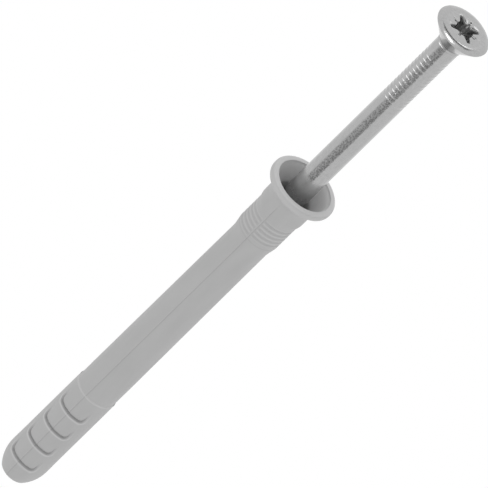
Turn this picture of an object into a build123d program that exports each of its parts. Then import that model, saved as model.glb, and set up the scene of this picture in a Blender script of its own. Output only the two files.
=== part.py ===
from build123d import *
from math import cos, radians, sin, tan
import os

os.makedirs("parts", exist_ok=True)

# A hammer fixing for an 8 mm hole: a nylon sleeve with its hammer screw standing part-way in.
# Lengths are millimetres and angles are degrees. Both pieces are drawn standing on the axis Z,
# with height 0 at the plane of the collar's mouth, minus towards the sleeve's tip and plus
# towards the screw's head. Angles turn about the axis from the middle of the front. At the end
# they are turned over to stand on the screw's flat head.

# Sleeve, outside, from the mouth to the tip
collar_d = 12.6
lip_thickness = 1.3
lip_land = 0.2
flare_length = 3.2
cup_d = 8.5
cup_length = 1.8
cup_step = 0.9
neck_d = 8.0
neck_length = 5.7
neck_taper = 2.2
body_top_d = 7.28
body_foot_d = 7.6
body_length = 43.4
shoulder_rise = 0.2
zone_top_d = 7.8
zone_d = 7.84
zone_lead = 5.0
zone_plain = 14.3
nose_length = 4.4
nose_end_d = 5.3
nose_edge = 0.25

# Grip rings round the foot of the neck
ring_groove_count = 5
ring_groove_pitch = 0.92
ring_groove_width = 0.5
ring_groove_depth = 0.12
ring_land = 0.3

# Barbed expansion zone, alike on both halves of the mould
seam_angle = -9.0
tooth_count = 4
tooth_pitch = 4.67
tooth_first = 5.2
tooth_depth = 0.34
tooth_length = 3.7
tooth_span = 97.0
tooth_corner = 0.7
slot_width = 0.8
slot_length = 21.5
slot_foot = 1.3
slot_angle = 90.0

# Screw, from the head to the point. Driven in, its point stands a little past the sleeve's tip.
screw_stand = 44.45
head_d = 10.3
head_rise = 0.45
head_flat_d = 7.4
head_cone_angle = 41.0
head_fillet = 0.6
shank_d = 4.5
point_length = 6.0
point_tip_d = 0.5
point_beyond = 2.87

# Cross recess in the head
wing_span = 5.8
wing_width = 1.25
tick_span = 4.6
tick_width = 0.45
tick_depth = 0.7
core_d = 2.7
recess_depth = 2.9
recess_taper = 7.0
recess_angle = 45.0

# Fits between the two pieces
bore_clearance = 0.05
seat_clearance = 0.05
point_clearance = 0.1
cup_wall = 1.1

# Heights along the axis that follow from the lengths
lip_r = (lip_thickness - lip_land) / 2
lip_foot = -lip_thickness
cup_top = lip_foot - flare_length
cup_foot = cup_top - cup_length
neck_top = cup_foot - cup_step
neck_foot = neck_top - neck_length
body_top = neck_foot - neck_taper
body_foot = body_top - body_length
zone_top = body_foot - shoulder_rise
zone_full = zone_top - zone_lead
nose_top = zone_full - zone_plain
tip = nose_top - nose_length

# The cup's cone and the head's cone have one angle. The cup's cone leaves the lip's round here.
cone_sin = sin(radians(head_cone_angle))
cone_cos = cos(radians(head_cone_angle))
cone_slope = tan(radians(head_cone_angle))
lip_centre_r = collar_d / 2 - lip_r
mouth_r = lip_centre_r - lip_r * cone_cos
mouth_height = lip_r * cone_sin - lip_r

# Radii and heights of the fit between screw and sleeve
bore_r = shank_d / 2 + bore_clearance
cup_bore_r = cup_d / 2 - cup_wall
head_rim = screw_stand - head_rise
seated_rim = mouth_height + (head_d / 2 - mouth_r) / cone_slope + seat_clearance
drive_travel = head_rim - seated_rim
screw_length = screw_stand - drive_travel - (tip - point_beyond)


def at(radius, height):
    """A point of a section: its radius from the axis and its height along it."""
    return (radius, 0, height)


def ring_grooves():
    """Grip rings: shallow V grooves round the foot of the neck, from the top down."""
    points = []
    first = neck_foot + ring_land + ring_groove_width / 2 + (ring_groove_count - 1) * ring_groove_pitch
    for number in range(ring_groove_count):
        centre = first - number * ring_groove_pitch
        points.append(at(neck_d / 2, centre + ring_groove_width / 2))
        points.append(at(neck_d / 2 - ring_groove_depth, centre))
        points.append(at(neck_d / 2, centre - ring_groove_width / 2))
    return points


def sleeve_outside():
    """Outside of the sleeve's wall, from the mouth over the round lip to the edge of the tip."""
    top_middle = radians(90 - head_cone_angle / 2)
    lip_top = at(lip_centre_r + lip_r * cos(top_middle), -lip_r + lip_r * sin(top_middle))
    land_top = at(collar_d / 2, -lip_r)
    land_foot = at(collar_d / 2, -lip_r - lip_land)
    lip_under = at(lip_centre_r, lip_foot)
    cup_shoulder = at(cup_d / 2, cup_top)
    below_flare = [cup_shoulder, at(cup_d / 2, cup_foot), at(neck_d / 2, neck_top)]
    below_rings = [
        at(neck_d / 2, neck_foot),
        at(body_top_d / 2, body_top),
        at(body_foot_d / 2, body_foot),
        at(zone_top_d / 2, zone_top),
        at(zone_d / 2, zone_full),
        at(zone_d / 2, nose_top),
    ]
    nose_edge_top = at(nose_end_d / 2, tip + nose_edge)
    return [
        ThreePointArc(at(mouth_r, mouth_height), lip_top, land_top),
        Line(land_top, land_foot),
        TangentArc(land_foot, lip_under, tangent=(0, 0, -1)),
        TangentArc(cup_shoulder, lip_under, tangent=(0, 0, 1)),
        Polyline(*below_flare, *ring_grooves(), *below_rings),
        TangentArc(below_rings[-1], nose_edge_top, tangent=(0, 0, -1)),
        Line(nose_edge_top, at(nose_end_d / 2 - nose_edge, tip)),
    ]


def sleeve_inside():
    """Inside of the wall, from the edge of the tip up to the mouth."""
    point_slope = (shank_d - point_tip_d) / 2 / point_length
    nose_bore_r = point_tip_d / 2 + point_beyond * point_slope + point_clearance
    nose_bore_top = tip + (bore_r - nose_bore_r) / point_slope
    cup_cone_foot = mouth_height - (mouth_r - cup_bore_r) / cone_slope
    cup_floor = cup_foot - (cup_bore_r - bore_r) / 2
    points = [
        at(nose_end_d / 2 - nose_edge, tip),
        at(nose_bore_r, tip),
        at(bore_r, nose_bore_top),
        at(bore_r, cup_floor - (cup_bore_r - bore_r) / 2),
        at(cup_bore_r, cup_floor + (cup_bore_r - bore_r) / 2),
        at(cup_bore_r, cup_cone_foot),
        at(mouth_r, mouth_height),
    ]
    return [Polyline(*points)]


def tooth_cutter(foot, middle_angle):
    """One barb's recess: deepest at its steep foot, running out towards the collar."""
    outer = zone_d / 2 + tooth_depth
    section = make_face(Polyline(
        at(zone_d / 2 - tooth_depth, foot),
        at(outer, foot),
        at(outer, foot + tooth_length),
        at(zone_d / 2, foot + tooth_length),
        close=True,
    ))
    wedge = revolve(section, Axis.Z, revolution_arc=tooth_span)
    corners = wedge.edges().filter_by(GeomType.LINE).group_by(Axis.Z)[0]
    wedge = fillet(corners, tooth_corner)
    return Rot(0, 0, middle_angle - tooth_span / 2) * wedge


def slot_cutter():
    """The two lengthwise slots that let the zone spread, as one cut across the sleeve."""
    plane = Plane(origin=(0, 0, nose_top + slot_foot + slot_length / 2), x_dir=(0, 0, 1), z_dir=(1, 0, 0))
    outline = plane * SlotOverall(slot_length, slot_width)
    across = extrude(outline, amount=zone_d, both=True)
    return Rot(0, 0, slot_angle) * across


def make_sleeve():
    """The moulded nylon sleeve: cup, ringed neck, body, barbed and slotted zone, open nose."""
    section = make_face([*sleeve_outside(), *sleeve_inside()])
    sleeve = revolve(section, Axis.Z)
    cutters = [slot_cutter()]
    for number in range(tooth_count):
        foot = zone_top - tooth_first - number * tooth_pitch
        for half in (0, 180):
            cutters.append(tooth_cutter(foot, seam_angle + half))
    return sleeve - cutters


def screw_section():
    """Half section of the screw: rounded flat top, countersunk cone, shank and point."""
    top = screw_stand
    cone_foot = head_rim - (head_d / 2 - shank_d / 2) / cone_slope
    fillet_reach = head_fillet * (1 - cone_cos) / cone_sin
    on_shank = at(shank_d / 2, cone_foot - fillet_reach)
    on_cone = at(shank_d / 2 + fillet_reach * cone_sin, cone_foot + fillet_reach * cone_cos)
    rim = at(head_d / 2, head_rim)
    flat_edge = at(head_flat_d / 2, top)
    point_top = at(shank_d / 2, top - screw_length + point_length)
    point_edge = at(point_tip_d / 2, top - screw_length)
    return make_face([
        Line(at(0, top), flat_edge),
        TangentArc(flat_edge, rim, tangent=(1, 0, 0)),
        Line(rim, on_cone),
        TangentArc(on_shank, on_cone, tangent=(0, 0, 1)),
        Polyline(on_shank, point_top, point_edge, at(0, top - screw_length), at(0, top)),
    ])


def driver_recess():
    """The cross recess: four tapering wings, a round core and a star of four shallow ticks."""
    mouth = Plane.XY.offset(screw_stand)
    wings = Rectangle(wing_span, wing_width) + Rectangle(wing_width, wing_span)
    ticks = Rectangle(tick_span, tick_width) + Rectangle(tick_width, tick_span)
    cross = extrude(mouth * wings, amount=-recess_depth, taper=recess_taper)
    core = extrude(mouth * Circle(core_d / 2), amount=-recess_depth, taper=recess_taper)
    star = extrude(mouth * (Rot(0, 0, 45) * ticks), amount=-tick_depth)
    return Rot(0, 0, recess_angle) * (cross + core + star)


def make_screw():
    """The cold-headed steel hammer screw."""
    return revolve(screw_section(), Axis.Z) - driver_recess()


def stand_on_head(pieces):
    """Turn the pieces over to stand on the screw's head, with their front towards -Y."""
    turn = Rot(0, 0, -90) * Rot(180, 0, 0)
    return [Pos(0, 0, screw_stand) * turn * piece for piece in pieces]


names = ["sleeve", "hammer_screw"]
for name, piece in zip(names, stand_on_head([make_sleeve(), make_screw()])):
    export_step(piece, f"parts/{name}.step")
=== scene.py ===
"""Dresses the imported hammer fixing: a moulded nylon sleeve on its zinc-plated hammer screw."""

from math import asin, atan, ceil, cos, hypot, pi, radians, sin, tan

import bmesh
import bpy
from bpy.props import FloatProperty, FloatVectorProperty, IntProperty, PointerProperty
from mathutils import Matrix, Vector


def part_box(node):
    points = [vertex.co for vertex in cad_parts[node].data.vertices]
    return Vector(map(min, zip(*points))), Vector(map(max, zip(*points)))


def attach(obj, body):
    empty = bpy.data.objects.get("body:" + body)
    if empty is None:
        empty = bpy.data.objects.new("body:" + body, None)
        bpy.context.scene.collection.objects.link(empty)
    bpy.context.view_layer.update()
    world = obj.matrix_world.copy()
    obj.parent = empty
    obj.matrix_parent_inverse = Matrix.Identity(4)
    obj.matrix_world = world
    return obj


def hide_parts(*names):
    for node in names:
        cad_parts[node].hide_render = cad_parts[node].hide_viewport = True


bl_info = {
    "name": "Hammer Fixing",
    "version": (1, 0, 0),
    "blender": (4, 5, 0),
    "location": "3D View > Sidebar > Fixing",
    "description": "Makes a nylon hammer fixing, its screw and a plain studio round the packed part",
    "category": "Add Mesh",
}

MM = 0.001
WHITE = (1, 1, 1, 1)
QUARTERS = ((-1, -1), (1, -1), (1, 1), (-1, 1))
# Points closer than this along the axis, in metres, lie on one height
TOUCH = 1e-7
# Edges that turn by more than this are drawn sharp
SHARP_ANGLE = radians(32)
# Columns round the sleeve stand no farther apart than this
COLUMN_STEP = radians(3.2)
# Columns at the parting line and at the end of a barb, in degrees from it
SEAM_STEPS = (-2.7, -1.8, -0.9, 0.0, 0.9, 1.8, 2.7)
BARB_END_STEPS = (-12, -10.5, -9.3, -8.2, -7.2, -6.4, -5.7, -5, -4.4, -3.8, -3.3, -2.9, -2.5)
BARB_END_STEPS += (-2.1, -1.7, -1.3, -0.9, -0.4, 0.0, 0.6, 1.8)
# Rows at the neck's foot, at the barbed zone's top and at a barb's foot, in millimetres over it
NECK_FOOT_ROWS = (-0.09, -0.13, -0.17)
ZONE_TOP_ROWS = (0.27, 0.1, -0.1, -0.18, -0.27)
BARB_ROWS = (-0.5, -0.38, -0.28, -0.19, -0.11, -0.05, 0.0, 0.03, 0.06, 0.09, 0.12, 0.15, 0.18)
BARB_ROWS += (0.21, 0.24, 0.28, 0.33, 0.39, 0.46, 0.54, 0.62, 0.7, 0.8)
# Rows at a slot's end, in half widths of the slot from it, and the least distance to another row
SLOT_END_ROWS = (-1.5, -0.6, 0.0, 0.06, 0.2, 0.45, 1.0, 1.8)
ROW_GAP = 0.012 * MM
# Columns beside a slot stand this many half widths from its middle, and those of its two edges,
# which meet at its ends, stand apart again this many half widths past them
SLOT_BESIDE = 1.35
SLOT_REOPENS = 1.2
# Height of the small edge that ends the nose
NOSE_EDGE = 0.25 * MM
# How far past a barb's foot its worn edge may reach
BARB_LAND = 0.6 * MM
# Share of the thread's pitch that its gentle side takes
GENTLE_SHARE = 0.76
# Rings of the screw's skin that lie in the recess, below its rounded edge
RECESS_RINGS = 7
# How much a recess's wing narrows on each side over its length
WING_NARROWING = 0.2
# The sky's tone by height, from straight below (0) over the horizon (0.5) to straight above (1)
SKY_BELT = ((0.0, 0.25), (0.12, 0.4), (0.3, 1.0), (0.5, 0.86), (0.75, 0.66), (1.0, 0.5))
# Lamps and cards stand at these distances from the fixing's middle
STAGE_MIDDLE = Vector((0, 0, 60 * MM))
LAMP_DISTANCE = 0.8
CARD_DISTANCE = 0.9
# The photograph's view: its lean on the axis, its roll, and what it aims at beside and past the mouth
VIEW_LEAN, VIEW_ACROSS = 0.58, 0.8146
ROLL_ALONG, ROLL_SIDE = 0.71465, 0.69948
AIM_SIDE, AIM_PAST_MOUTH = 0.19 * MM, 16.93 * MM
SENSOR_WIDTH = 36.0

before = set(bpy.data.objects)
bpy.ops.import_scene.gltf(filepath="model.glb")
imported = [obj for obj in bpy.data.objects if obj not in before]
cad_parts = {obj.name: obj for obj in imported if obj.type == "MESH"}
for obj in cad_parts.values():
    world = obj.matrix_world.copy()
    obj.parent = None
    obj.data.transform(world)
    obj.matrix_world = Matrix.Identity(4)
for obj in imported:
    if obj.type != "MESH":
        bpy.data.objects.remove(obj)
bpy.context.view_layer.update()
MOUTH_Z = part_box("sleeve")[0].z


def linear(text):
    """An sRGB hex colour as linear red, green and blue."""
    parts = [int(text[i : i + 2], 16) / 255 for i in (1, 3, 5)]
    return [c / 12.92 if c <= 0.04045 else ((c + 0.055) / 1.055) ** 2.4 for c in parts]


def length(name, millimetres, description):
    """A size of a piece, given in millimetres and kept in metres."""
    return FloatProperty(
        name=name,
        description=description,
        default=millimetres * MM,
        min=0.0,
        precision=5,
        unit="LENGTH",
        subtype="DISTANCE",
    )


def turn(name, degrees, description):
    """An angle, given in degrees and kept in radians."""
    return FloatProperty(name=name, description=description, default=radians(degrees), subtype="ANGLE")


def colour(name, text, description):
    """A colour, given as sRGB hex and kept linear."""
    return FloatVectorProperty(
        name=name, description=description, default=linear(text), size=3, min=0.0, max=1.0, subtype="COLOR"
    )


class FixingSleeveSizes(bpy.types.PropertyGroup):
    """Sizes of the nylon sleeve. Heights run down the axis from the collar's mouth."""

    collar_d: length("Collar", 12.6, "Outer diameter of the collar's round lip")
    lip_thickness: length("Lip", 1.45, "Thickness of the round lip")
    mouth_d: length("Mouth", 10.36, "Diameter of the mouth inside the lip")
    mouth_round: length("Mouth round", 0.12, "Round of the mouth's inner edge")
    lip_land: length("Lip land", 0.35, "Straight part between the lip's two rounds")
    flare_length: length("Flare", 3.05, "Length of the curved flare under the lip")
    cup_d: length("Cup", 8.5, "Outer diameter of the cup under the flare")
    cup_length: length("Cup length", 1.8, "Length of the straight cup")
    cup_step: length("Cup step", 0.9, "Length of the cone from cup to neck")
    cup_wall: length("Cup wall", 1.1, "Thickness of the cup's wall")
    cup_cone: length("Cup cone", 3.3, "Depth of the cone inside the cup")
    neck_d: length("Neck", 8.0, "Diameter of the ringed neck")
    neck_length: length("Neck length", 5.7, "Length of the ringed neck")
    neck_taper: length("Neck taper", 2.2, "Length of the cone from neck to body")
    body_top_d: length("Body top", 7.28, "Diameter of the body under the neck")
    body_foot_d: length("Body foot", 7.54, "Diameter of the body where the barbed zone starts")
    body_length: length("Body length", 43.4, "Length of the plain body")
    shoulder_rise: length("Shoulder", 0.2, "Length of the step from body to zone")
    zone_top_d: length("Zone top", 7.8, "Diameter at the top of the barbed zone")
    zone_d: length("Zone", 7.84, "Diameter of the barbed zone")
    zone_lead: length("Zone lead", 5.0, "Length over which the zone widens")
    zone_plain: length("Zone length", 14.3, "Length of the zone at its full width")
    nose_length: length("Nose", 4.4, "Length of the rounded nose")
    nose_end_d: length("Nose end", 5.5, "Diameter at the nose's edge")
    bore_d: length("Bore", 4.6, "Diameter of the bore")
    nose_bore_d: length("Nose bore", 2.614, "Diameter of the bore at the tip")
    nose_bore_length: length("Nose bore length", 2.98, "Length of the bore's cone at the tip")
    ring_count: IntProperty(name="Rings", description="Number of grip grooves on the neck", default=5, min=1)
    ring_pitch: length("Ring pitch", 0.92, "Distance between grip grooves")
    ring_width: length("Ring groove", 0.54, "Width of a grip groove")
    ring_depth: length("Ring depth", 0.2, "Depth of a grip groove")
    ring_land: length("Ring land", 0.3, "Plain land under the last groove")
    tooth_count: IntProperty(name="Barbs", description="Barbs along each half of the zone", default=4, min=1)
    tooth_pitch: length("Barb pitch", 4.67, "Distance between barbs")
    tooth_first: length("First barb", 5.2, "Distance from the zone's top to the first barb's foot")
    tooth_depth: length("Barb depth", 0.34, "Depth of a barb's recess at its foot")
    tooth_length: length("Barb length", 3.7, "Length over which a recess runs out")
    tooth_corner: length("Barb corner", 0.95, "Rounding of a recess's corners")
    tooth_span: turn("Barb span", 97.0, "Angle that a barb's recess covers")
    seam_angle: turn("Seam", -9.0, "Place of the mould's parting line, from the middle of the front")
    seam_width: length("Seam width", 0.26, "Width of the parting line's fine ridge")
    seam_height: length("Seam height", 0.06, "Height of the parting line's fine ridge")
    slot_width: length("Slot", 0.8, "Width of the two lengthwise slots")
    slot_length: length("Slot length", 21.5, "Length of the two lengthwise slots")
    slot_foot: length("Slot foot", 1.3, "Distance from the nose to the slots")
    slot_angle: turn("Slot turn", 90.0, "Place of the two slots, from the middle of the front")


class FixingScrewSizes(bpy.types.PropertyGroup):
    """Sizes of the hammer screw. Heights run up the axis from the collar's mouth."""

    stand: length("Stand", 44.45, "Height of the head's flat over the collar's mouth")
    screw_length: length("Length", 85.368, "Whole length of the screw")
    head_d: length("Head", 10.3, "Diameter of the head's rim")
    head_rise: length("Head rise", 0.45, "Height of the head's flat over its rim")
    head_flat_d: length("Head flat", 7.4, "Diameter of the head's flat")
    head_cone: turn("Head cone", 41.0, "Angle of the cone under the head, from the axis")
    head_fillet: length("Head fillet", 0.6, "Rounding between the head's cone and the shank")
    shank_d: length("Shank", 4.5, "Diameter of the shank and of the thread's crests")
    point_length: length("Point", 6.0, "Length of the plain point")
    point_tip_d: length("Point end", 0.5, "Diameter of the point's end")
    thread_top: length("Thread top", 38.3, "Height of the thread's end below the head")
    thread_foot: length("Thread foot", 24.1, "Height of the thread's other end")
    thread_pitch: length("Thread pitch", 0.96, "Distance between thread crests")
    thread_depth: length("Thread depth", 0.08, "Depth of the thread's groove")
    bead_height: length("Bead", 40.22, "Height of the fine bead where the heading die closed under the head")
    wing_span: length("Wings", 5.8, "Length across two wings of the cross recess")
    wing_width: length("Wing width", 1.1, "Width of a wing")
    tick_span: length("Ticks", 4.6, "Length across two ticks of the star")
    tick_width: length("Tick width", 0.45, "Width of a tick")
    tick_depth: length("Tick depth", 0.7, "Depth of a tick")
    core_d: length("Core", 3.3, "Diameter of the recess's core")
    recess_depth: length("Recess depth", 2.9, "Depth of the cross recess")
    recess_taper: turn("Recess taper", 7.0, "Slope of the recess's walls")
    recess_angle: turn("Recess turn", 45.0, "Angle of the wings from the middle of the front")


class FixingColours(bpy.types.PropertyGroup):
    """Colours of the two finishes, with the painted shade and painted light that are mixed into the nylon."""

    nylon: colour("Nylon", "#B1B1B1", "Grey of the moulded nylon")
    nylon_deep: colour("Nylon, deep", "#ADADAD", "Darker flow marks in the moulded nylon")
    # painted shade and painted light, mixed into the nylon where the sleeve's marks ask for them
    nylon_painted_shade: colour("Nylon, painted shade", "#555555", "Painted shade in the nylon's corners, grooves, crease and beside the seam")
    nylon_painted_light: colour("Nylon, painted light", "#DCDCDC", "Painted light on the nylon's edges, ridges, lip and inside the cup")
    zinc: colour("Zinc", "#B4B4B4", "Bright zinc plating")
    zinc_dull: colour("Zinc, dull", "#ABABAB", "Dull patches of the plating")
    # painted dark specks that mottle the dark reflection in the shank's front strip
    zinc_painted_specks: colour("Zinc, painted specks", "#888888", "Painted dark specks that mottle the dark reflection in the shank's rough strip")
    # painted light: a brighter plating colour inside the recess
    zinc_painted_light: colour("Zinc, painted light", "#C4C4C4", "Painted light: brighter plating inside the recess")


class FixingStudio(bpy.types.PropertyGroup):
    """The camera and the light of the plain studio."""

    frame_width: length("Frame", 80.0, "Width of the picture at the fixing")
    camera_distance: length("Camera distance", 3700.0, "Distance from camera to fixing")
    key_power: FloatProperty(
        name="Key", description="Power of the lamps beyond the head", default=1.0, min=0.0, unit="POWER"
    )
    fill_power: FloatProperty(
        name="Fill", description="Power of the lamp on the left", default=0.8, min=0.0, unit="POWER"
    )
    sky_level: FloatProperty(
        name="Sky", description="Level of the even light from all sides", default=1.28, min=0.0
    )


def place(radius, angle, height):
    """A point by its radius, its angle from the front and its height over the collar's mouth."""
    return (-radius * sin(angle), -radius * cos(angle), MOUTH_Z - height)


def softened(corners):
    """An open line through (radius, height, rounding) corners, each rounded by a short curve."""
    line = []
    for i, (r, h, rounding) in enumerate(corners):
        if rounding == 0 or i in (0, len(corners) - 1):
            line.append((r, h))
            continue
        ends = []
        for other in (corners[i - 1], corners[i + 1]):
            run = hypot(other[0] - r, other[1] - h)
            share = min(rounding, run * 0.45) / run
            ends.append((r + (other[0] - r) * share, h + (other[1] - h) * share))
        for t in (0.0, 0.25, 0.5, 0.75, 1.0):
            a, b, c = (1 - t) ** 2, 2 * t * (1 - t), t * t
            line.append((a * ends[0][0] + b * r + c * ends[1][0], a * ends[0][1] + b * h + c * ends[1][1]))
    return line


def arc(centre, radius, start, end, steps):
    """Points of an arc in the section, between two angles from the outward direction."""
    angles = [start + (end - start) * i / steps for i in range(steps + 1)]
    return [(centre[0] + radius * cos(a), centre[1] + radius * sin(a)) for a in angles]


def with_heights(line, heights):
    """The same line with a point at each of the given heights that it passes."""
    out = [line[0]]
    for (r0, h0), (r1, h1) in zip(line, line[1:]):
        inside = [h for h in heights if min(h0, h1) + 1e-6 < h < max(h0, h1) - 1e-6]
        for h in sorted(inside, reverse=h1 < h0):
            t = (h - h0) / (h1 - h0)
            out.append((r0 + (r1 - r0) * t, h))
        out.append((r1, h1))
    return out


def evenly(start, end, step):
    """Heights from start to end at most one step apart."""
    count = max(1, ceil(abs(end - start) / step))
    return [start + (end - start) * i / count for i in range(count + 1)]


def new_object(name, points, faces):
    """An object at the origin with its place in its mesh."""
    mesh = bpy.data.meshes.new(name)
    mesh.from_pydata(points, [], faces)
    mesh.validate()
    thing = bpy.data.objects.new(name, mesh)
    bpy.context.scene.collection.objects.link(thing)
    return thing


def band(upper, lower, wide):
    """The faces between two rings of a skin that have as many points."""
    pairs = [(j, (j + 1) % wide) for j in range(wide)]
    return [(upper * wide + j, lower * wide + j, lower * wide + k, upper * wide + k) for j, k in pairs]


def mark(thing, name, values):
    """Keeps a number for each point of a mesh."""
    thing.data.attributes.new(name, "FLOAT", "POINT").data.foreach_set("value", values)


def blank_tree(data):
    """The emptied node tree of a material or a world."""
    data.use_nodes = True
    data.node_tree.nodes.clear()
    return data.node_tree


def add(tree, kind, settings=None, links=None):
    """Adds one node with its settings, and links or sets its inputs."""
    made = tree.nodes.new(kind)
    for key, value in (settings or {}).items():
        setattr(made, key, value)
    for key, value in (links or {}).items():
        if isinstance(value, bpy.types.NodeSocket):
            tree.links.new(value, made.inputs[key])
        else:
            made.inputs[key].default_value = value
    return made


def sums(tree, known, steps):
    """Adds a row of Math nodes. Each step names its result, its operation and what it works on.

    A product may have more than two terms. A clamped result stays between 0 and 1.
    """
    values = dict(known)
    for name, operation, *terms in steps:
        operation, *clamped = operation.split()
        terms = [values[term] if isinstance(term, str) else term for term in terms]
        while operation == "MULTIPLY" and len(terms) > 2:
            product = add(tree, "ShaderNodeMath", {"operation": operation}, {0: terms[0], 1: terms[1]})
            terms = [product.outputs[0], *terms[2:]]
        settings = {"operation": operation, "use_clamp": bool(clamped)}
        values[name] = add(tree, "ShaderNodeMath", settings, dict(enumerate(terms))).outputs[0]
    return values


def close_to(name, value, spot, reach):
    """Steps for a share that is 1 where a value meets a spot and 0 from its reach on, on both sides."""
    return [
        (f"{name}_off", "SUBTRACT", value, spot),
        (f"{name}_far", "ABSOLUTE", f"{name}_off"),
        (f"{name}_part", "MULTIPLY", f"{name}_far", 1 / reach),
        (name, "SUBTRACT clamped", 1.0, f"{name}_part"),
    ]


def gathered(name, shares):
    """Steps that add up marks on the outside, each by how strongly it shows."""
    steps = []
    total = 0.0
    for mark_name, share in shares.items():
        steps.append((f"{name}_{mark_name}", "MULTIPLY_ADD", mark_name, share, total))
        total = f"{name}_{mark_name}"
    return [*steps, (name, "MULTIPLY", total, "outside")]


# Sums for the angle round the axis, from the middle of the front
FRONT_ANGLE = [
    ("left", "MULTIPLY", "x", -1.0),
    ("near", "MULTIPLY", "y", -1.0),
    ("angle", "ARCTAN2", "left", "near"),
]


def shape_tree(name, inputs, steps, marks):
    """A Geometry Nodes tree that moves each outside point in or out, and keeps marks for the finish."""
    tree = bpy.data.node_groups.new(name, "GeometryNodeTree")
    tree.is_modifier = True
    kinds = {"Geometry": "Geometry", **dict.fromkeys(inputs, "Float"), "Material": "Material"}
    for key, kind in kinds.items():
        tree.interface.new_socket(name=key, in_out="INPUT", socket_type=f"NodeSocket{kind}")
    tree.interface.new_socket(name="Geometry", in_out="OUTPUT", socket_type="NodeSocketGeometry")
    given = add(tree, "NodeGroupInput").outputs
    spot = add(tree, "GeometryNodeInputPosition")
    x, y, z = add(tree, "ShaderNodeSeparateXYZ", {}, {0: spot.outputs[0]}).outputs
    outside = add(tree, "GeometryNodeInputNamedAttribute", {"data_type": "FLOAT"}, {"Name": "outside"})
    known = {"x": x, "y": y, "z": z, "outside": outside.outputs["Attribute"]}
    known.update({key: given[key] for key in inputs})
    values = sums(tree, known, [*steps, ("shift", "MULTIPLY", "move", "outside")])
    flat = add(tree, "ShaderNodeCombineXYZ", {}, {0: x, 1: y})
    outward = add(tree, "ShaderNodeVectorMath", {"operation": "NORMALIZE"}, {0: flat.outputs[0]})
    offset = {0: outward.outputs[0], "Scale": values["shift"]}
    shift = add(tree, "ShaderNodeVectorMath", {"operation": "SCALE"}, offset)
    moved = {"Geometry": given["Geometry"], "Offset": shift.outputs[0]}
    result = add(tree, "GeometryNodeSetPosition", {}, moved)
    for key in marks:
        kept = {"Geometry": result.outputs[0], "Name": key, "Value": values[key]}
        settings = {"data_type": "FLOAT", "domain": "POINT"}
        result = add(tree, "GeometryNodeStoreNamedAttribute", settings, kept)
    plain = add(tree, "GeometryNodeRealizeInstances", {}, {0: result.outputs[0]})
    finish = {"Geometry": plain.outputs[0], "Material": given["Material"]}
    dressed = add(tree, "GeometryNodeSetMaterial", {}, finish)
    add(tree, "NodeGroupOutput", {}, {0: dressed.outputs[0]})
    return tree


def apply_tree(thing, tree, values, material):
    """Runs a tree on an object with its inputs set, and keeps the result as its plain mesh."""
    thing.data.materials.append(material)
    modifier = thing.modifiers.new(tree.name, "NODES")
    modifier.node_group = tree
    given = {key: float(value) for key, value in values.items()}
    given["Material"] = material
    for socket in tree.interface.items_tree:
        if socket.in_out == "INPUT" and socket.name in given:
            modifier[socket.identifier] = given[socket.name]
    bpy.context.view_layer.update()
    mesh = bpy.data.meshes.new_from_object(thing.evaluated_get(bpy.context.evaluated_depsgraph_get()))
    if len(mesh.polygons) == 0:
        raise RuntimeError(f"{thing.name} came out of its tree empty")
    thing.modifiers.clear()
    old = thing.data
    thing.data = mesh
    mesh.name = thing.name
    bpy.data.meshes.remove(old)
    mesh.materials.clear()
    mesh.materials.append(material)
    mesh.shade_smooth()
    mesh.set_sharp_from_angle(angle=SHARP_ANGLE)


def moulded_nylon(colours):
    """Polyamide 6, injection moulded: an even satin grey with faint flow marks and a fine mould grain, and
    with painted shade and painted light mixed into its colour.
    """
    material = bpy.data.materials.new("polyamide_injection_moulded_satin")
    tree = blank_tree(material)
    where = add(tree, "ShaderNodeTexCoord").outputs["Object"]
    # flow marks of the melt, about 3 mm across and four times as long
    along = add(tree, "ShaderNodeMapping", {}, {"Vector": where, "Scale": (1.0, 1.0, 0.25)})
    melt = {"Vector": along.outputs[0], "Scale": 1 / (3 * MM), "Detail": 3.0}
    flow = add(tree, "ShaderNodeTexNoise", {}, melt)
    tone = add(tree, "ShaderNodeMapRange", {}, {0: flow.outputs[0], 1: 0.35, 2: 0.65})
    # painted shade in the barbs' corners, the grip grooves, the crease and on one side of the parting line;
    # painted light on the barbs' edges, the ridges, the shoulder, the lip, the mouth, the other side of the
    # parting line and inside the cup
    corners = add(tree, "ShaderNodeAttribute", {"attribute_name": "corner_shade"})
    edges = add(tree, "ShaderNodeAttribute", {"attribute_name": "edge_light"})
    colour = (*colours.nylon, 1)
    for share, over in (
        (tone.outputs[0], colours.nylon_deep),
        (corners.outputs["Fac"], colours.nylon_painted_shade),
        (edges.outputs["Fac"], colours.nylon_painted_light),
    ):
        mixed = add(tree, "ShaderNodeMix", {"data_type": "RGBA"}, {0: share, 6: colour, 7: (*over, 1)})
        colour = mixed.outputs[2]
    # spark-eroded mould grain of about 0.15 mm, which makes the gloss uneven and the surface satin
    spark = {"Vector": where, "Scale": 1 / (0.15 * MM), "Detail": 2.0}
    grain = add(tree, "ShaderNodeTexNoise", {}, spark).outputs[0]
    sheen = add(tree, "ShaderNodeMapRange", {}, {0: grain, 1: 0.3, 2: 0.7, 3: 0.48, 4: 0.60})
    bump = add(tree, "ShaderNodeBump", {}, {"Strength": 0.12, "Distance": 0.02 * MM, "Height": grain})
    finish = {"Base Color": colour, "Roughness": sheen.outputs[0], "Normal": bump.outputs[0]}
    finish.update({"IOR": 1.53, "Specular IOR Level": 0.3})
    shader = add(tree, "ShaderNodeBsdfPrincipled", {}, finish)
    add(tree, "ShaderNodeOutputMaterial", {}, {0: shader.outputs[0]})
    return material


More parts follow.
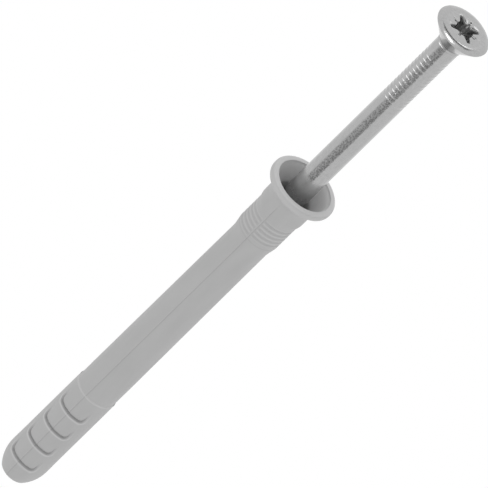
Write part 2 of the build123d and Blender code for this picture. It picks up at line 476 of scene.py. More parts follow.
# Sums for the screw's finish
SHANK_STEPS = [
    *FRONT_ANGLE,
    # the rough strip, 19 degrees to each side of its middle, from over the head to below the cup
    ("from_middle", "ADD", "angle", radians(7)),
    ("aside", "ABSOLUTE", "from_middle"),
    ("inside", "SUBTRACT", radians(19), "aside"),
    ("across", "MULTIPLY clamped", "inside", 1 / radians(4)),
    ("over_head", "SUBTRACT", "z", 4 * MM),
    ("along", "MULTIPLY clamped", "over_head", 1 / (0.3 * MM)),
    ("to_cup", "SUBTRACT", MOUTH_Z - 3.0 * MM, "z"),
    ("before_cup", "MULTIPLY clamped", "to_cup", 1 / (0.5 * MM)),
    ("strip", "MULTIPLY", "along", "before_cup", "across"),
    # the sleeve's grease dulls the shank round the cup's mouth
    *close_to("greased", "z", MOUTH_Z - 1.0 * MM, 3.0 * MM),
    # what the patterns make of it: mottled plating, painted dark specks and relief in the strip
    ("mottle", "MULTIPLY_ADD", "streaks", 0.45, "patches"),
    ("speckled", "MULTIPLY", "specks", "strip"),
    ("relief", "MULTIPLY_ADD", "strip", 0.9, 0.06),
]
# Roughness: the recess and the greased shank are duller than the drawn plating
DULL_STEPS = [
    ("in_recess", "MULTIPLY_ADD", "recess", 0.12, "gloss"),
    ("roughness", "MULTIPLY_ADD", "greased", 0.3, "in_recess"),
]


def plated_steel(colours):
    """Carbon steel, cold headed, bright zinc plated: a soft metal gloss, mottled and streaked along."""
    material = bpy.data.materials.new("steel_cold_headed_bright_zinc_plated")
    tree = blank_tree(material)
    where = add(tree, "ShaderNodeTexCoord").outputs["Object"]
    x, y, z = add(tree, "ShaderNodeSeparateXYZ", {}, {0: where}).outputs
    # patches of the plating, about 0.7 mm across
    plating = {"Vector": where, "Scale": 1 / (0.7 * MM), "Detail": 4.0, "Roughness": 0.6}
    patches = add(tree, "ShaderNodeTexNoise", {}, plating)
    # streaks of the drawing die, about 0.25 mm wide and eight times as long
    drawn = add(tree, "ShaderNodeMapping", {}, {"Vector": where, "Scale": (1.0, 1.0, 0.12)})
    die = {"Vector": drawn.outputs[0], "Scale": 1 / (0.25 * MM), "Detail": 3.0}
    streaks = add(tree, "ShaderNodeTexNoise", {}, die)
    # crystal grain of the plating, drawn about 0.26 mm across so that it shows
    zinc = {"Vector": where, "Scale": 1 / (0.26 * MM), "Detail": 2.0, "Roughness": 0.6}
    crystals = add(tree, "ShaderNodeTexNoise", {}, zinc).outputs[0]
    # painted dark specks that mottle the dark reflection down the shank's front strip; the strip also gets a
    # stronger bump
    specks = add(tree, "ShaderNodeMapRange", {}, {0: crystals, 1: 0.44, 2: 0.58}).outputs[0]
    # painted light: the recess's plating is given a brighter colour
    recess = add(tree, "ShaderNodeAttribute", {"attribute_name": "recess"}).outputs["Fac"]
    known = {"x": x, "y": y, "z": z, "specks": specks, "recess": recess}
    known.update(patches=patches.outputs[0], streaks=streaks.outputs[0])
    found = sums(tree, known, SHANK_STEPS)
    tone = add(tree, "ShaderNodeMapRange", {}, {0: found["mottle"], 1: 0.52, 2: 0.95})
    colour = (*colours.zinc, 1)
    for share, over in (
        (tone.outputs[0], colours.zinc_dull),
        (found["speckled"], colours.zinc_painted_specks),
        (recess, colours.zinc_painted_light),
    ):
        mixed = add(tree, "ShaderNodeMix", {"data_type": "RGBA"}, {0: share, 6: colour, 7: (*over, 1)})
        colour = mixed.outputs[2]
    gloss = add(tree, "ShaderNodeMapRange", {}, {0: found["mottle"], 1: 0.5, 2: 1.0, 3: 0.14, 4: 0.22})
    dull = sums(tree, {**found, "gloss": gloss.outputs[0]}, DULL_STEPS)
    rough = {"Strength": found["relief"], "Distance": 0.06 * MM, "Height": crystals}
    bump = add(tree, "ShaderNodeBump", {}, rough)
    finish = {"Base Color": colour, "Roughness": dull["roughness"], "Normal": bump.outputs[0]}
    finish["Metallic"] = 1.0
    shader = add(tree, "ShaderNodeBsdfPrincipled", {}, finish)
    add(tree, "ShaderNodeOutputMaterial", {}, {0: shader.outputs[0]})
    return material


# In the functions that follow, s holds a piece's sizes and h the heights of the sleeve's steps
def sleeve_heights(s):
    """Heights of the sleeve's steps, by their names, from the collar's mouth to its tip."""
    h = {"lip_foot": -s.lip_thickness}
    h["cup_top"] = h["lip_foot"] - s.flare_length
    h["cup_foot"] = h["cup_top"] - s.cup_length
    h["neck_top"] = h["cup_foot"] - s.cup_step
    h["neck_foot"] = h["neck_top"] - s.neck_length
    h["body_top"] = h["neck_foot"] - s.neck_taper
    h["body_foot"] = h["body_top"] - s.body_length
    h["zone_top"] = h["body_foot"] - s.shoulder_rise
    h["zone_full"] = h["zone_top"] - s.zone_lead
    h["nose_top"] = h["zone_full"] - s.zone_plain
    h["tip"] = h["nose_top"] - s.nose_length
    h["slot_foot"] = h["nose_top"] + s.slot_foot
    h["slot_top"] = h["slot_foot"] + s.slot_length
    return h


def zone_rows(s, h):
    """Heights of the rows through rings, barbs and slots, close together where a step is."""
    rows = evenly(h["neck_top"], h["neck_foot"], s.ring_pitch / 10)
    rows += [h["neck_foot"] + d * MM for d in NECK_FOOT_ROWS]
    rows += [h["zone_top"] + d * MM for d in ZONE_TOP_ROWS]
    for i in range(s.tooth_count):
        foot = h["zone_top"] - s.tooth_first - i * s.tooth_pitch
        rows += [foot + d * MM for d in BARB_ROWS]
        rows += evenly(foot + 1.1 * MM, foot + s.tooth_length, 0.5 * MM)
    half = s.slot_width / 2
    kept = [h["slot_foot"] + half * d for d in SLOT_END_ROWS]
    kept += [h["slot_top"] - half * d for d in SLOT_END_ROWS]
    for row in rows:
        if all(abs(row - other) > ROW_GAP for other in kept):
            kept.append(row)
    return sorted(kept, reverse=True)


def sleeve_columns(s):
    """Angles of the columns round the sleeve, with the slots' edges marked by their side."""
    edge = asin(s.slot_width / s.zone_d)
    marked = {}
    for half in (0.0, pi):
        middle = s.seam_angle + half
        slot = s.slot_angle + half
        marked.update({middle + radians(step): 0 for step in SEAM_STEPS})
        marked[slot] = 0
        for side in (-1, 1):
            for step in BARB_END_STEPS:
                marked[middle + side * (s.tooth_span / 2 + radians(step))] = 0
            marked[slot + side * edge] = side
            marked[slot + side * edge * SLOT_BESIDE] = 0
    angles = sorted(marked)
    out = []
    for angle, following in zip(angles, [*angles[1:], angles[0] + 2 * pi]):
        out.append((angle, marked[angle]))
        beside_slot = marked[angle] == -1 or marked.get(following) == 1
        if not beside_slot:
            out += [(a, 0) for a in evenly(angle, following, COLUMN_STEP)[1:-1]]
    return out


def slot_share(s, h, height):
    """How far apart a slot's two edge columns stand at a height: 1 along the slot, 0 at its ends."""
    half = s.slot_width / 2
    past = max(h["slot_foot"] + half - height, height - (h["slot_top"] - half)) / half
    if past <= 0:
        return 1.0
    if past <= 1:
        return (1 - past * past) ** 0.5
    return min(1.0, (past - 1) / SLOT_REOPENS)


def sleeve_section(s, h):
    """The sleeve's section, down its outside and up its inside, as two open lines."""
    lip_r = (s.lip_thickness - s.lip_land) / 2
    lip = (s.collar_d / 2 - lip_r, -lip_r)
    mouth_r = s.mouth_d / 2
    outside = arc((mouth_r + s.mouth_round, -s.mouth_round), s.mouth_round, pi, pi / 2, 6)
    outside += arc(lip, lip_r, pi / 2, 0, 10)
    outside += arc((lip[0], lip[1] - s.lip_land), lip_r, 0, radians(-90), 9)
    run = lip[0] - s.cup_d / 2
    bend = (run * run + s.flare_length**2) / (2 * run)
    top = asin(s.flare_length / bend)
    flare = arc((s.cup_d / 2 + bend, h["cup_top"]), bend, pi - top, pi, 12)
    outside += flare[1:-1]
    nose_run = (s.zone_d - s.nose_end_d) / 2
    nose_rise = s.nose_length - NOSE_EDGE
    nose = (nose_run**2 + nose_rise**2) / (2 * nose_run)
    below = softened([
        (s.cup_d / 2, h["cup_top"], 0),
        (s.cup_d / 2, h["cup_foot"], 0.35 * MM),
        (s.neck_d / 2, h["neck_top"], 0.3 * MM),
        (s.neck_d / 2, h["neck_foot"], 0.06 * MM),
        (s.body_top_d / 2, h["body_top"], 0.5 * MM),
        (s.body_foot_d / 2, h["body_foot"], 0.05 * MM),
        (s.zone_top_d / 2, h["zone_top"], 0.1 * MM),
        (s.zone_d / 2, h["zone_full"], 0.8 * MM),
        (s.zone_d / 2, h["nose_top"], 0),
    ])
    outside += with_heights(below, zone_rows(s, h) + evenly(h["body_top"], h["body_foot"], 3 * MM))
    outside += arc((s.zone_d / 2 - nose, h["nose_top"]), nose, 0, -asin(nose_rise / nose), 12)[1:]
    outside.append((s.nose_end_d / 2 - 0.09 * MM, h["tip"] + 0.09 * MM))
    outside.append((s.nose_end_d / 2 - 0.3 * MM, h["tip"]))
    cup_r = s.cup_d / 2 - s.cup_wall
    floor = h["cup_foot"] - (cup_r - s.bore_d / 2)
    inside = softened([
        (s.nose_bore_d / 2 + 0.1 * MM, h["tip"], 0),
        (s.nose_bore_d / 2, h["tip"] + 0.1 * MM, 0),
        (s.bore_d / 2, h["tip"] + s.nose_bore_length, 0.2 * MM),
        (s.bore_d / 2, floor, 0.15 * MM),
        (cup_r, h["cup_foot"], 0.15 * MM),
        (cup_r, -s.cup_cone, 0.4 * MM),
        (mouth_r, -0.4 * MM, 0.25 * MM),
        (mouth_r, -s.mouth_round, 0),
    ])
    slot_rows = [a for _, a in outside if h["slot_foot"] - MM < a < h["slot_top"] + MM]
    return outside, with_heights(inside, slot_rows + evenly(-s.cup_cone, -0.6 * MM, 0.4 * MM)[1:-1])[:-1]


def sleeve_mesh(s):
    """The sleeve as one closed skin of rows and columns, with its two slots open from side to side."""
    h = sleeve_heights(s)
    outside, inside = sleeve_section(s, h)
    rows = outside + inside
    columns = sleeve_columns(s)
    edge = asin(s.slot_width / s.zone_d)
    points = []
    for radius, height in rows:
        narrow = edge * (1 - slot_share(s, h, height))
        points += [place(radius, angle - side * narrow, height) for angle, side in columns]
    wide = len(columns)
    starts = [i for i, (_, side) in enumerate(columns) if side == -1]
    slot_faces = set(starts) | {i + 1 for i in starts}
    in_slot = [h["slot_foot"] - TOUCH <= height <= h["slot_top"] + TOUCH for _, height in rows]
    level = {True: {}, False: {}}
    for i, (_, height) in enumerate(rows):
        if in_slot[i]:
            level[i < len(outside)][round(height / TOUCH)] = i
    faces = []
    for i in range(len(rows)):
        following = (i + 1) % len(rows)
        left_out = slot_faces if in_slot[i] and in_slot[following] else ()
        faces += [face for j, face in enumerate(band(i, following, wide)) if j not in left_out]
    shared = sorted(set(level[True]) & set(level[False]), reverse=True)
    if len(shared) != len(level[True]) or len(shared) != len(level[False]):
        raise RuntimeError("the slots' rows don't match inside and outside")
    for j, (_, side) in enumerate(columns):
        if side == 0:
            continue
        for upper, lower in zip(shared, shared[1:]):
            wall = [level[True][upper], level[True][lower], level[False][lower], level[False][upper]]
            faces.append([row * wide + j for row in wall[::-side]])
    thing = new_object("sleeve_moulding", points, faces)
    mark(thing, "outside", [1.0] * len(outside) * wide + [0.0] * len(inside) * wide)
    return thing, h


def weld(thing):
    """Joins points that lie on one spot and drops faces without area. Gives the count of open edges."""
    work = bmesh.new()
    work.from_mesh(thing.data)
    bmesh.ops.remove_doubles(work, verts=work.verts, dist=0.0005 * MM)
    bmesh.ops.dissolve_degenerate(work, edges=work.edges, dist=0.0002 * MM)
    bmesh.ops.recalc_face_normals(work, faces=work.faces)
    open_edges = sum(1 for e in work.edges if len(e.link_faces) != 2)
    work.to_mesh(thing.data)
    work.free()
    return open_edges


# How strongly the nylon's painted shade and painted light show, as shares of its painted-shade and
# painted-light colours; CUP_GLOW is the painted light inside the cup
PAINTED_SHADE = {"barb_painted_shade": 0.323, "ring_groove_and_painted_shade": 0.1, "crease": 0.12, "seam_painted_shade": 0.22}
PAINTED_LIGHT = {"barb_painted_light": 0.36, "ridge_painted_light": 1.6, "shoulder": 0.3, "seam_painted_light": 0.08, "lip": 0.16, "mouth": 0.55}
CUP_GLOW = 0.9
# Sums that move the sleeve's outside points: barbs and grip grooves cut in, the parting line stands out; they
# also place the nylon's painted shade and painted light
SLEEVE_STEPS = [
    *FRONT_ANGLE,
    ("off_seam", "SUBTRACT", "angle", "Seam"),
    ("folded", "WRAP", "off_seam", pi / 2, -pi / 2),
    ("aside", "ABSOLUTE", "folded"),
    # barbs: distance to the foot ahead, then the ramp that runs out from it
    ("barb_way", "SUBTRACT", "z", "Barb start"),
    ("barb_turns", "DIVIDE", "barb_way", "Barb pitch"),
    ("barb_part", "FRACT", "barb_turns"),
    ("barb_left", "SUBTRACT", 1.0, "barb_part"),
    ("barb_left_way", "MULTIPLY", "barb_left", "Barb pitch"),
    ("to_foot", "SUBTRACT", "barb_left_way", "Barb land"),
    ("ramp_used", "DIVIDE", "to_foot", "Barb length"),
    ("ramp_left", "SUBTRACT", 1.0, "ramp_used"),
    ("ramp_low", "MAXIMUM", "ramp_left", 0.0),
    ("ramp", "POWER", "ramp_low", 2.0),
    ("started", "GREATER_THAN", "barb_turns", 0.0),
    ("unfinished", "LESS_THAN", "barb_turns", "Barb count"),
    ("within", "MULTIPLY", "started", "unfinished"),
    # rounded outline of a recess, as a distance from it
    ("arc_way", "MULTIPLY", "aside", "Zone radius"),
    ("arc_half", "SUBTRACT", "Barb half arc", "Barb corner"),
    ("past_side", "SUBTRACT", "arc_way", "arc_half"),
    ("past_foot", "SUBTRACT", "Barb corner", "to_foot"),
    ("side_out", "MAXIMUM", "past_side", 0.0),
    ("foot_out", "MAXIMUM", "past_foot", 0.0),
    ("side_square", "MULTIPLY", "side_out", "side_out"),
    ("squares", "MULTIPLY_ADD", "foot_out", "foot_out", "side_square"),
    ("corner_way", "SQRT", "squares"),
    ("deeper", "MAXIMUM", "past_side", "past_foot"),
    ("inner", "MINIMUM", "deeper", 0.0),
    ("rim_way", "ADD", "corner_way", "inner"),
    ("inside_way", "SUBTRACT", "Barb corner", "rim_way"),
    ("wall_part", "DIVIDE", "inside_way", "Barb wall"),
    ("wall", "MULTIPLY clamped", "wall_part", 1.0),
    ("wall_soft", "MULTIPLY", "wall", "wall"),
    # a narrow gutter along the foot of the wall
    ("gutter_past", "SUBTRACT clamped", "wall_part", 1.0),
    ("gutter", "SUBTRACT", 1.0, "gutter_past"),
    ("floor", "MULTIPLY_ADD", "gutter", "Gutter depth", "Barb depth"),
    ("barb_cut", "MULTIPLY", "ramp", "wall_soft", "within", "floor"),
    # painted shade in the corner under a wall, painted highlight on the edge above it
    *close_to("corner", "wall_part", 1.0, 0.95),
    ("barb_painted_shade", "MULTIPLY", "corner", "ramp", "within"),
    *close_to("edge", "wall_part", -0.55, 0.9),
    ("barb_painted_light", "MULTIPLY", "edge", "ramp", "within"),
    # grip grooves, half a pitch lower and deeper on one side of the parting line and broken at it
    ("right_half", "GREATER_THAN", "folded", 0.0),
    ("half_turn", "MULTIPLY", "right_half", 0.5),
    ("ring_way", "SUBTRACT", "z", "Ring start"),
    ("ring_turns", "DIVIDE", "ring_way", "Ring pitch"),
    ("ring_place", "ADD", "ring_turns", "half_turn"),
    ("ring_part", "FRACT", "ring_place"),
    ("ring_off", "SUBTRACT", "ring_part", 0.5),
    ("ring_far", "ABSOLUTE", "ring_off"),
    ("ring_span", "MULTIPLY", "ring_far", "Ring sharpness"),
    ("ring_groove", "SUBTRACT clamped", 1.0, "ring_span"),
    ("ring_started", "GREATER_THAN", "ring_place", 0.0),
    ("ring_unfinished", "LESS_THAN", "ring_place", "Ring count"),
    ("ring_within", "MULTIPLY", "ring_started", "ring_unfinished"),
    ("neck_arc", "MULTIPLY", "aside", "Neck radius"),
    ("gap_part", "DIVIDE", "neck_arc", "Seam gap"),
    ("gap", "SUBTRACT clamped", "gap_part", 0.6),
    ("ring_side", "MULTIPLY_ADD", "right_half", 0.1, 0.6),
    # painted shade in the grip grooves, by the same share that cuts them, and painted highlight on the ridges
    # between them
    ("ring_groove_and_painted_shade", "MULTIPLY", "ring_groove", "gap", "ring_side", "ring_within"),
    ("ring_cut", "MULTIPLY", "ring_groove_and_painted_shade", "Ring depth"),
    ("ridge", "SUBTRACT clamped", "ring_far", 0.3),
    ("ridge_painted_light", "MULTIPLY", "ridge", "ring_within", "ring_side", "gap"),
    # parting line: a fine ridge that fades out on the flare, with painted shade on its right and painted
    # light on its left
    ("seam_part", "DIVIDE", "neck_arc", "Seam half width"),
    ("seam_near", "SUBTRACT clamped", 1.0, "seam_part"),
    ("seam_below", "SUBTRACT", "z", "Seam top"),
    ("seam_full", "MULTIPLY clamped", "seam_below", 1 / (2 * MM)),
    ("seam_up", "MULTIPLY", "seam_near", "seam_full", "Seam height"),
    ("seam_arc", "MULTIPLY", "folded", "Neck radius"),
    ("seam_side", "DIVIDE", "seam_arc", "Seam half width"),
    *close_to("seam_right", "seam_side", 0.6, 1.0),
    ("seam_painted_shade", "MULTIPLY", "seam_right", "seam_full"),
    *close_to("seam_left", "seam_side", -0.7, 1.0),
    ("seam_painted_light", "MULTIPLY", "seam_left", "seam_full"),
    # a crease at the neck's foot with painted shade in it, and painted highlights at the shoulder, round the
    # mouth and on and under the lip
    *close_to("crease", "z", "Neck foot", 0.16 * MM),
    ("crease_cut", "MULTIPLY", "crease", "Crease depth"),
    *close_to("shoulder", "z", "Shoulder", 0.26 * MM),
    *close_to("mouth", "z", "Mouth", 0.25 * MM),
    ("lip_off", "SUBTRACT", "Lip foot", "z"),
    ("lip", "MULTIPLY_ADD clamped", "lip_off", 1 / (1.6 * MM), 0.8),
    # painted light on the cup's inside, strongest near the mouth and on the side of minus X
    ("in_cup", "SUBTRACT", "z", "Mouth"),
    ("in_cup_part", "MULTIPLY_ADD clamped", "in_cup", -1 / (1.6 * MM), 1.0),
    ("in_cup_full", "MAXIMUM", "in_cup_part", 0.3),
    ("inward", "SUBTRACT", 1.0, "outside"),
    ("lit_side", "MULTIPLY_ADD", "x", -1 / (9.0 * MM), 1.0),
    ("cup_light", "MULTIPLY", "in_cup_full", "inward", "lit_side"),
    # all painted shade, all painted light and all moves together
    *gathered("corner_shade", PAINTED_SHADE),
    *gathered("wear", PAINTED_LIGHT),
    ("edge_light", "MULTIPLY_ADD", "cup_light", CUP_GLOW, "wear"),
    ("less_rings", "SUBTRACT", "seam_up", "ring_cut"),
    ("less_crease", "SUBTRACT", "less_rings", "crease_cut"),
    ("move", "SUBTRACT", "less_crease", "barb_cut"),
]


def sleeve_values(s, h):
    """Values of the sleeve tree's inputs, in metres, radians and counts."""
    first_foot = h["zone_top"] - s.tooth_first
    groove_top = h["neck_foot"] + s.ring_land + s.ring_count * s.ring_pitch
    return {
        "Seam": s.seam_angle,
        "Barb start": MOUTH_Z - first_foot - s.tooth_pitch + BARB_LAND,
        "Barb land": BARB_LAND,
        "Barb pitch": s.tooth_pitch,
        "Barb length": s.tooth_length,
        "Barb count": s.tooth_count,
        "Barb half arc": s.tooth_span / 2 * s.zone_d / 2,
        "Barb corner": s.tooth_corner,
        "Barb wall": 0.26 * MM,
        "Gutter depth": 0.2 * MM,
        "Barb depth": s.tooth_depth,
        "Zone radius": s.zone_d / 2,
        "Neck radius": s.neck_d / 2,
        "Neck foot": MOUTH_Z - h["neck_foot"],
        "Crease depth": 0.01 * MM,
        "Shoulder": MOUTH_Z - h["zone_top"],
        "Mouth": MOUTH_Z,
        "Lip foot": MOUTH_Z + s.lip_thickness - 0.15 * MM,
        "Ring start": MOUTH_Z - groove_top,
        "Ring pitch": s.ring_pitch,
        "Ring sharpness": 2 * s.ring_pitch / s.ring_width,
        "Ring count": s.ring_count,
        "Ring depth": s.ring_depth,
        "Seam gap": 0.25 * MM,
        "Seam half width": s.seam_width / 2,
        "Seam top": MOUTH_Z + 3.2 * MM,
        "Seam height": s.seam_height,
    }


def wing_reach(s, angle, grow):
    """Distance from the recess's centre to its wings and core, by the angle from a wing, grown a little."""
    quarter = abs((angle + pi / 4) % (pi / 2) - pi / 4)
    root = s.wing_width / 2 + WING_NARROWING * s.core_d / 2 + grow
    wing_end = (s.wing_span / 2 + grow) / cos(quarter)
    wing_side = root / (sin(quarter) + WING_NARROWING * cos(quarter))
    return max(s.core_d / 2 + grow, min(wing_end, wing_side))


def cross_reach(s, angle, grow):
    """The same with the shallow ticks that stand between the wings."""
    from_tick = pi / 4 - abs((angle + pi / 4) % (pi / 2) - pi / 4)
    tick_end = (s.tick_span / 2 + grow) / cos(from_tick)
    tick_side = (s.tick_width / 2 + grow) / max(sin(from_tick), 1e-9)
    return max(wing_reach(s, angle, grow), min(tick_end, tick_side))


def screw_columns(s):
    """Angles of the columns round the screw, set close where the recess has corners."""
    wing, tick, half_span = s.wing_width / 2, s.tick_width / 2, s.wing_span / 2
    steps = [0.0, 0.5 * atan(wing / half_span)]
    steps += [atan(wing / (half_span * share)) for share in (1.0, 0.84, 0.7, 0.58)]
    steps += [asin(2 * wing / s.core_d), radians(29)]
    tick_steps = (asin(2 * tick / s.core_d), atan(tick / (1.8 * MM)), atan(2 * tick / s.tick_span), 0.05)
    steps += [pi / 4 - a for a in tick_steps]
    quarter = sorted([-a for a in steps[1:]] + steps + [-pi / 4])
    return [s.recess_angle + k * pi / 2 + a for k in range(4) for a in quarter]


def screw_mesh(s):
    """The screw as one closed skin, from the recess's floor over the head and down to its point."""
    columns = screw_columns(s)
    wide = len(columns)
    top = s.stand
    rim = top - s.head_rise
    foot = top - s.screw_length
    deep = s.recess_depth
    slope = tan(s.recess_taper)
    rings = []

    def level(outline, depth, grow, share=1.0, less=0.0):
        reaches = [share * outline(s, a - s.recess_angle, grow) - less for a in columns]
        rings.append((reaches, top - depth, 0.0))

    level(wing_reach, deep + 0.25 * MM, -deep * slope, share=0.25)
    level(wing_reach, deep, -deep * slope, less=0.06 * MM)
    level(wing_reach, deep - 0.12 * MM, -deep * slope)
    level(wing_reach, 1.6 * MM, -1.6 * MM * slope)
    level(wing_reach, s.tick_depth + 0.02 * MM, -s.tick_depth * slope)
    level(cross_reach, s.tick_depth, -s.tick_depth * slope)
    level(cross_reach, 0.06 * MM, -0.02 * MM)
    level(cross_reach, 0.015 * MM, 0.0)
    level(cross_reach, 0.0, 0.03 * MM)

    flat_r = s.head_flat_d / 2
    shank_r = s.shank_d / 2
    run = s.head_d / 2 - flat_r
    crown = (run * run + s.head_rise**2) / (2 * s.head_rise)
    line = [(flat_r * 0.9, top)]
    line += arc((flat_r, top - crown), crown, pi / 2, pi / 2 - asin(run / crown), 8)[:-1]
    cone_foot = rim - (s.head_d / 2 - shank_r) / tan(s.head_cone)
    point_top = foot + s.point_length
    line += softened([
        (s.head_d / 2 - 0.06 * MM, rim + 0.02 * MM, 0),
        (s.head_d / 2, rim - 0.03 * MM, 0.05 * MM),
        (shank_r, cone_foot - 0.02 * MM, s.head_fillet * 0.5),
        (shank_r, s.bead_height + 0.24 * MM, 0),
        (shank_r + 0.08 * MM, s.bead_height, 0),
        (shank_r, s.bead_height - 0.1 * MM, 0),
        (shank_r, point_top, 0.3 * MM),
        (s.point_tip_d / 2, foot, 0.05 * MM),
        (0.05 * MM, foot, 0),
    ])
    heights = evenly(s.thread_foot - s.thread_pitch, s.thread_top + s.thread_pitch, s.thread_pitch / 10)
    heights += evenly(point_top, s.thread_foot - s.thread_pitch, 4 * MM)
    for radius, height in with_heights(line, heights):
        rings.append(([radius] * wide, height, float(abs(radius - shank_r) < TOUCH)))
    points = []
    flags = []
    for reaches, height, threaded in rings:
        points += [place(reach, a, height) for reach, a in zip(reaches, columns)]
        flags += [threaded] * wide
    faces = []
    for i in range(len(rings) - 1):
        faces += band(i, i + 1, wide)
    floor_end, point_end = len(points), len(points) + 1
    points += [place(0, 0, top - deep - 0.35 * MM), place(0, 0, foot)]
    last = (len(rings) - 1) * wide
    for j in range(wide):
        beside = (j + 1) % wide
        faces += [(floor_end, j, beside), (last + beside, last + j, point_end)]
    thing = new_object("hammer_screw_steel", points, faces)
    mark(thing, "outside", flags + [0.0, 0.0])
    in_recess = RECESS_RINGS * wide
    mark(thing, "recess", [1.0] * in_recess + [0.0] * (floor_end - in_recess) + [1.0, 0.0])
    return thing


# Sums that cut the fine right-hand thread: a saw-tooth groove, steep on the side that faces the head
THREAD_STEPS = [
    *FRONT_ANGLE,
    ("turned", "DIVIDE", "angle", 2 * pi),
    ("climb", "DIVIDE", "z", "Pitch"),
    ("phase", "ADD", "climb", "turned"),
    ("part", "FRACT", "phase"),
    ("gentle", "DIVIDE", "part", "Gentle share"),
    ("part_left", "SUBTRACT", 1.0, "part"),
    ("steep_share", "SUBTRACT", 1.0, "Gentle share"),
    ("steep", "DIVIDE", "part_left", "steep_share"),
    ("groove", "MINIMUM", "gentle", "steep"),
    ("from_low", "SUBTRACT", "z", "Low end"),
    ("to_high", "SUBTRACT", "High end", "z"),
    ("nearest", "MINIMUM", "from_low", "to_high"),
    ("run", "DIVIDE clamped", "nearest", "Pitch"),
    ("move", "MULTIPLY", "groove", "run", "Depth", -1.0),
]


def thread_values(s):
    """Values of the thread tree's inputs."""
    return {
        "Pitch": s.thread_pitch,
        "Depth": s.thread_depth,
        "Gentle share": GENTLE_SHARE,
        "Low end": MOUTH_Z - s.thread_top,
        "High end": MOUTH_Z - s.thread_foot,
    }


class FIXING_OT_sleeve(bpy.types.Operator):
    """Makes the nylon sleeve with its barbs, slots, grip rings and parting line"""

    bl_idname = "fixing.sleeve"
    bl_label = "Make Sleeve"

    def execute(self, context):
        sizes = context.scene.fixing_sleeve
        thing, heights = sleeve_mesh(sizes)
        if weld(thing):
            raise RuntimeError("the sleeve's skin isn't closed")
        values = sleeve_values(sizes, heights)
        tree = shape_tree("barbs_rings_and_seam", list(values), SLEEVE_STEPS, ("corner_shade", "edge_light"))
        apply_tree(thing, tree, values, moulded_nylon(context.scene.fixing_colours))
        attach(thing, "sleeve_body")
        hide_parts("sleeve")
        return {"FINISHED"}


class FIXING_OT_screw(bpy.types.Operator):
    """Makes the hammer screw with its cross recess and fine thread"""

    bl_idname = "fixing.screw"
    bl_label = "Make Screw"

    def execute(self, context):
        sizes = context.scene.fixing_screw
        thing = screw_mesh(sizes)
        if weld(thing):
            raise RuntimeError("the screw's skin isn't closed")
        values = thread_values(sizes)
        tree = shape_tree("fine_thread", list(values), THREAD_STEPS, ())
        apply_tree(thing, tree, values, plated_steel(context.scene.fixing_colours))
        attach(thing, "screw_body")
        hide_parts("hammer_screw")
        return {"FINISHED"}


def soft_lamp(name, direction, size, power):
    """A soft rectangular lamp that looks at the fixing's middle from one direction."""
    data = bpy.data.lights.new(name, "AREA")
    data.shape = "RECTANGLE"
    data.size, data.size_y = size
    data.energy = power
    lamp = bpy.data.objects.new(name, data)
    lamp.visible_camera = False
    away = Vector(direction).normalized()
    lamp.rotation_mode = "QUATERNION"
    lamp.rotation_quaternion = away.to_track_quat("Z", "Y")
    lamp.location = STAGE_MIDDLE + away * LAMP_DISTANCE
    bpy.context.scene.collection.objects.link(lamp)
    return lamp


def sheet(name, corners, unseen, finish):
    """A flat piece of the stage that some kinds of ray pass through. Gives its material's blank tree."""
    thing = new_object(name, [tuple(corner) for corner in corners], [(0, 1, 2, 3)])
    for kind in unseen:
        setattr(thing, f"visible_{kind}", False)
    material = bpy.data.materials.new(finish)
    thing.data.materials.append(material)
    return blank_tree(material)


def dark_card(name, direction, size, tones):
    """A card that only shows in gloss, as a dark band on bright metal, with a tone for each side."""
    away = Vector(direction).normalized()
    across = away.cross(Vector((0, 0, 1))).normalized() * size[0] / 2
    upward = across.normalized().cross(away) * size[1] / 2
    middle = STAGE_MIDDLE + away * CARD_DISTANCE
    corners = [middle + across * x + upward * y for x, y in QUARTERS]
    tree = sheet(name, corners, ("camera", "diffuse", "shadow", "transmission"), "grey_card_matt")
    where = add(tree, "ShaderNodeTexCoord")
    split = add(tree, "ShaderNodeSeparateXYZ", {}, {0: where.outputs["Object"]})
    ends = [corner.x for corner in corners]
    limits = {1: min(ends), 2: max(ends), 3: tones[0], 4: tones[1]}
    tone = add(tree, "ShaderNodeMapRange", {}, {0: split.outputs[0], **limits})
    dark = add(tree, "ShaderNodeEmission", {}, {"Color": WHITE, "Strength": tone.outputs[0]})
    add(tree, "ShaderNodeOutputMaterial", {}, {0: dark.outputs[0]})


def pale_floor():
    """A plain white floor that is seen from above only. It shows the fixing's shadow and casts no light."""
    half = 3.0
    corners = [(x * half, y * half, -0.02 * MM) for x, y in QUARTERS]
    tree = sheet("floor", corners, ("shadow", "diffuse", "glossy", "transmission"), "paper_white_matt")
    matt = add(tree, "ShaderNodeBsdfDiffuse", {}, {"Color": (*linear("#C4C4C4"), 1)})
    glow = add(tree, "ShaderNodeEmission", {}, {"Color": WHITE, "Strength": 0.5})
    lit = add(tree, "ShaderNodeAddShader", {}, {0: matt.outputs[0], 1: glow.outputs[0]})
    clear = add(tree, "ShaderNodeBsdfTransparent")
    under = add(tree, "ShaderNodeNewGeometry").outputs["Backfacing"]
    mix = add(tree, "ShaderNodeMixShader", {}, {0: under, 1: lit.outputs[0], 2: clear.outputs[0]})
    add(tree, "ShaderNodeOutputMaterial", {}, {0: mix.outputs[0]})


